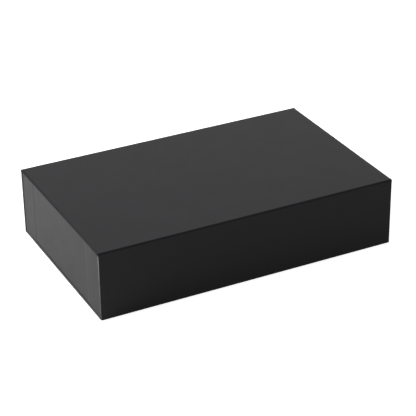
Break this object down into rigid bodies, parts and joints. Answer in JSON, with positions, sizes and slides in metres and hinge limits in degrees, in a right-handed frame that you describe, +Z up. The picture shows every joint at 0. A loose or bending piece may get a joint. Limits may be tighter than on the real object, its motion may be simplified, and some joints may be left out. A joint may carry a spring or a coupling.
{
  "type": "storage box",
  "caption": "Low oblong rigid box of papered greyboard with a hinged lid and a magnet flap that covers the whole front, around a glued-in tray.",
  "frame": {"origin": "middle of the box's footprint, on the surface it stands on", "axes": "+X along the length, -Y out of the flap face, +Z up"},
  "size_m": [0.35, 0.218, 0.0795],
  "materials": {
    "greyboard": "matt",
    "covering_paper": "matt",
    "lining_paper": "matt",
    "stay_tape": "matt",
    "magnet": "satin",
    "keeper_steel": "satin"
  },
  "bodies": {
    "box": {"bottom_board": "greyboard", "spine_board": "greyboard", "bottom_wrap": "covering_paper", "spine_wrap": "covering_paper", "spine_liner": "lining_paper", "tray_floor_board": "greyboard", "tray_front_board": "greyboard", "tray_back_board": "greyboard", "tray_left_board": "greyboard", "tray_right_board": "greyboard", "tray_front_wrap": "covering_paper", "tray_back_wrap": "covering_paper", "tray_left_wrap": "covering_paper", "tray_right_wrap": "covering_paper", "tray_floor_liner": "lining_paper", "corner_stay_front_left": "stay_tape", "corner_stay_front_right": "stay_tape", "corner_stay_back_left": "stay_tape", "corner_stay_back_right": "stay_tape", "keeper_left": "keeper_steel", "keeper_right": "keeper_steel"},
    "lid": {"lid_board": "greyboard", "lid_wrap": "covering_paper", "lid_liner": "lining_paper"},
    "flap": {"flap_board": "greyboard", "flap_wrap": "covering_paper", "flap_liner": "lining_paper", "flap_magnet_left": "magnet", "flap_magnet_right": "magnet"}
  },
  "joints": [
    {"name": "lid_hinge", "type": "hinge", "parent": "box", "child": "lid", "pos_m": [0, 0.1073, 0.0778], "axis": [-1, 0, 0], "range_deg": [0, 170]},
    {"name": "flap_hinge", "type": "hinge", "parent": "lid", "child": "flap", "pos_m": [0, -0.1073, 0.0778], "axis": [-1, 0, 0], "range_deg": [0, 90]}
  ]
}
